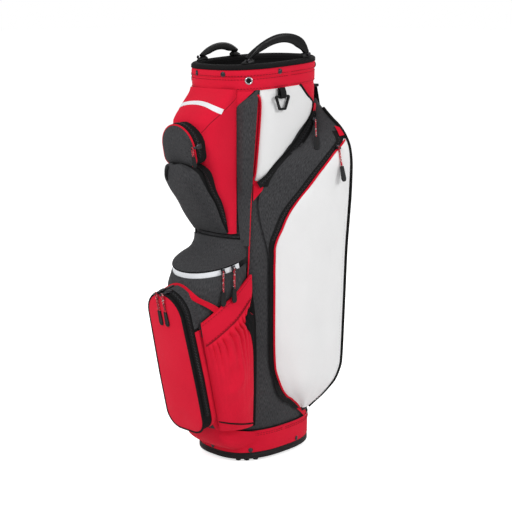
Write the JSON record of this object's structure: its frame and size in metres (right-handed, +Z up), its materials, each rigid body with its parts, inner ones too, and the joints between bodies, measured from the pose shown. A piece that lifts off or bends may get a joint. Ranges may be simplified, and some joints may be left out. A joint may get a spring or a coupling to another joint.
{
  "type": "golf bag",
  "caption": "Oval golf bag with a moulded divided top, lift handles, zipped pockets, a cooler pocket, bottle pouches and a shoulder strap.",
  "frame": {"origin": "middle of the base on the floor, on the axis of the tube", "axes": "+Z up along the tube, -Y to the front where the ball pocket is, +X to the bag's side that shows in the picture"},
  "size_m": [0.3754, 0.4635, 0.9029],
  "materials": {
    "black_plastic": "moulded, fine grain",
    "black_rubber": "matt",
    "red_fabric": "smooth coated polyester",
    "charcoal_fabric": "heather weave",
    "white_fabric": "smooth coated",
    "silver_fabric": "reflective tape",
    "black_fabric": "webbing and zip tape",
    "bright_metal": "plated",
    "dark_metal": "black enamel",
    "cord_pull": "flecked cord and rubber tab",
    "stay_rod": "pultruded rod"
  },
  "bodies": {
    "bag": {"base_tray": "black_plastic", "foot_studs": "black_rubber", "base_band": "red_fabric", "base_rivets": "black_plastic", "body_shell": "charcoal_fabric", "stay_rods": "stay_rod", "back_pad": "charcoal_fabric", "top_cuff": "black_plastic", "divider_bars": "black_plastic", "divider_sheets": "black_fabric", "handle_right": "black_plastic", "handle_left": "black_plastic", "handle_screws": "bright_metal", "collar": "red_fabric", "collar_snaps": "black_plastic", "eyelets": "bright_metal", "towel_loops": "black_fabric", "upper_pocket": "red_fabric", "slant_pocket": "charcoal_fabric", "valuables_box": "black_fabric", "valuables_zip": "black_fabric", "cooler_box": "charcoal_fabric", "cooler_zip": "silver_fabric", "front_housing": "charcoal_fabric", "ball_box": "black_fabric", "ball_zip": "black_fabric", "bottle_pouches": "red_fabric", "strap_sleeves": "charcoal_fabric", "upper_side_panels": "white_fabric", "apparel_pockets": "charcoal_fabric", "apparel_faces": "white_fabric", "side_zips": "black_fabric", "strap_pad": "charcoal_fabric", "strap_webbing": "black_fabric", "strap_hardware": "black_plastic"},
    "ball_flap": {"ball_flap": "red_fabric"},
    "ball_slider_right": {"ball_slider_right": "dark_metal"},
    "ball_slider_left": {"ball_slider_left": "dark_metal"},
    "ball_pull_right": {"ball_pull_right": "cord_pull"},
    "ball_pull_left": {"ball_pull_left": "cord_pull"},
    "valuables_flap": {"valuables_flap": "charcoal_fabric"},
    "valuables_slider": {"valuables_slider": "dark_metal"},
    "valuables_pull": {"valuables_pull": "cord_pull"},
    "cooler_lid": {"cooler_lid": "charcoal_fabric"},
    "cooler_slider_front": {"cooler_slider_front": "dark_metal"},
    "cooler_slider_rear": {"cooler_slider_rear": "dark_metal"},
    "cooler_pull_front": {"cooler_pull_front": "cord_pull"},
    "cooler_pull_rear": {"cooler_pull_rear": "cord_pull"},
    "upper_slider_right": {"upper_slider_right": "dark_metal"},
    "upper_pull_right": {"upper_pull_right": "cord_pull"},
    "upper_slider_left": {"upper_slider_left": "dark_metal"},
    "upper_pull_left": {"upper_pull_left": "cord_pull"},
    "lower_slider_right": {"lower_slider_right": "dark_metal"},
    "lower_pull_right": {"lower_pull_right": "cord_pull"},
    "lower_slider_left": {"lower_slider_left": "dark_metal"},
    "lower_pull_left": {"lower_pull_left": "cord_pull"},
    "towel_ring_right": {"towel_ring_right": "black_plastic"},
    "towel_ring_left": {"towel_ring_left": "black_plastic"}
  },
  "joints": [
    {"name": "ball_flap_hinge", "type": "hinge", "parent": "bag", "child": "ball_flap", "pos_m": [0, -0.19202, 0.08127], "axis": [1, 0, 0], "range_deg": [0, 75]},
    {"name": "ball_right_zip", "type": "hinge", "parent": "ball_flap", "child": "ball_slider_right", "pos_m": [0, -0.22355, 0.34269], "axis": [0, 0.9759, 0.2181], "range_deg": [0, 72]},
    {"name": "ball_left_zip", "type": "hinge", "parent": "ball_flap", "child": "ball_slider_left", "pos_m": [0, -0.22355, 0.34269], "axis": [0, -0.9759, -0.2181], "range_deg": [0, 72]},
    {"name": "ball_right_pull", "type": "hinge", "parent": "ball_slider_right", "child": "ball_pull_right", "pos_m": [0.00929, -0.2694, 0.38643], "axis": [0, 0.9759, 0.2181], "range_deg": [-72, 0]},
    {"name": "ball_left_pull", "type": "hinge", "parent": "ball_slider_left", "child": "ball_pull_left", "pos_m": [-0.00929, -0.2694, 0.38643], "axis": [0, -0.9759, -0.2181], "range_deg": [-72, 0]},
    {"name": "valuables_flap_hinge", "type": "hinge", "parent": "bag", "child": "valuables_flap", "pos_m": [0, -0.20284, 0.64375], "axis": [1, 0, 0], "range_deg": [0, 60]},
    {"name": "valuables_zip_run", "type": "hinge", "parent": "valuables_flap", "child": "valuables_slider", "pos_m": [0, -0.18787, 0.68334], "axis": [0, -0.9816, -0.1908], "range_deg": [0, 150]},
    {"name": "valuables_pull_swing", "type": "hinge", "parent": "valuables_slider", "child": "valuables_pull", "pos_m": [0.04938, -0.21915, 0.68077], "axis": [0, -0.9816, -0.1908], "range_deg": [-150, 0]},
    {"name": "cooler_lid_hinge", "type": "hinge", "parent": "bag", "child": "cooler_lid", "pos_m": [0, -0.1256, 0.4855], "axis": [-1, 0, 0], "range_deg": [0, 55]},
    {"name": "cooler_front_zip", "type": "hinge", "parent": "bag", "child": "cooler_slider_front", "pos_m": [0, -0.125, 0.436], "axis": [0, 0.2588, -0.9659], "range_deg": [0, 64]},
    {"name": "cooler_rear_zip", "type": "hinge", "parent": "bag", "child": "cooler_slider_rear", "pos_m": [0, -0.125, 0.436], "axis": [0, -0.2588, 0.9659], "range_deg": [0, 8]},
    {"name": "cooler_front_pull", "type": "hinge", "parent": "cooler_slider_front", "child": "cooler_pull_front", "pos_m": [0.07911, -0.16573, 0.42584], "axis": [-0.4695, -0.8829, 0], "range_deg": [0, 96]},
    {"name": "cooler_rear_pull", "type": "hinge", "parent": "cooler_slider_rear", "child": "cooler_pull_rear", "pos_m": [0.08764, -0.14304, 0.4315], "axis": [-0.2079, -0.9781, 0], "range_deg": [0, 100]},
    {"name": "upper_right_zip", "type": "hinge", "parent": "bag", "child": "upper_slider_right", "pos_m": [-0.27544, -0.09525, 0.78828], "axis": [-0.3818, 0.5912, -0.7104], "range_deg": [0, 15]},
    {"name": "upper_right_pull", "type": "hinge", "parent": "upper_slider_right", "child": "upper_pull_right", "pos_m": [0.11336, 0.0703, 0.72075], "axis": [-0.0872, -0.9962, 0], "range_deg": [0, 60]},
    {"name": "upper_left_zip", "type": "hinge", "parent": "bag", "child": "upper_slider_left", "pos_m": [0.27544, -0.09525, 0.78828], "axis": [-0.3818, -0.5912, 0.7104], "range_deg": [0, 15]},
    {"name": "upper_left_pull", "type": "hinge", "parent": "upper_slider_left", "child": "upper_pull_left", "pos_m": [-0.11336, 0.0703, 0.72075], "axis": [-0.0872, 0.9962, 0], "range_deg": [0, 60]},
    {"name": "lower_right_zip", "type": "hinge", "parent": "bag", "child": "lower_slider_right", "pos_m": [-0.32265, 0.18336, 0.59046], "axis": [0.2322, 0.7758, -0.5867], "range_deg": [0, 18]},
    {"name": "lower_right_pull", "type": "hinge", "parent": "lower_slider_right", "child": "lower_pull_right", "pos_m": [0.18421, 0.07683, 0.64996], "axis": [-0.2588, -0.9659, 0], "range_deg": [0, 14.4]},
    {"name": "lower_left_zip", "type": "hinge", "parent": "bag", "child": "lower_slider_left", "pos_m": [0.32265, 0.18336, 0.59046], "axis": [0.2322, -0.7758, 0.5867], "range_deg": [0, 18]},
    {"name": "lower_left_pull", "type": "hinge", "parent": "lower_slider_left", "child": "lower_pull_left", "pos_m": [-0.18421, 0.07683, 0.64996], "axis": [-0.2588, 0.9659, 0], "range_deg": [0, 14.4]},
    {"name": "towel_right_swing", "type": "hinge", "parent": "bag", "child": "towel_ring_right", "pos_m": [0.114, -0.031, 0.778], "axis": [0, -1, 0], "range_deg": [0, 85]},
    {"name": "towel_left_swing", "type": "hinge", "parent": "bag", "child": "towel_ring_left", "pos_m": [-0.114, -0.031, 0.778], "axis": [0, 1, 0], "range_deg": [0, 85]}
  ],
  "couplings": [
    {"joint": "cooler_front_pull", "follows": "cooler_front_zip", "ratio": 1.5},
    {"joint": "lower_right_pull", "follows": "lower_right_zip", "ratio": 0.8},
    {"joint": "lower_left_pull", "follows": "lower_left_zip", "ratio": 0.8},
    {"joint": "ball_right_pull", "follows": "ball_right_zip", "ratio": -1},
    {"joint": "ball_left_pull", "follows": "ball_left_zip", "ratio": -1},
    {"joint": "valuables_pull_swing", "follows": "valuables_zip_run", "ratio": -1}
  ]
}
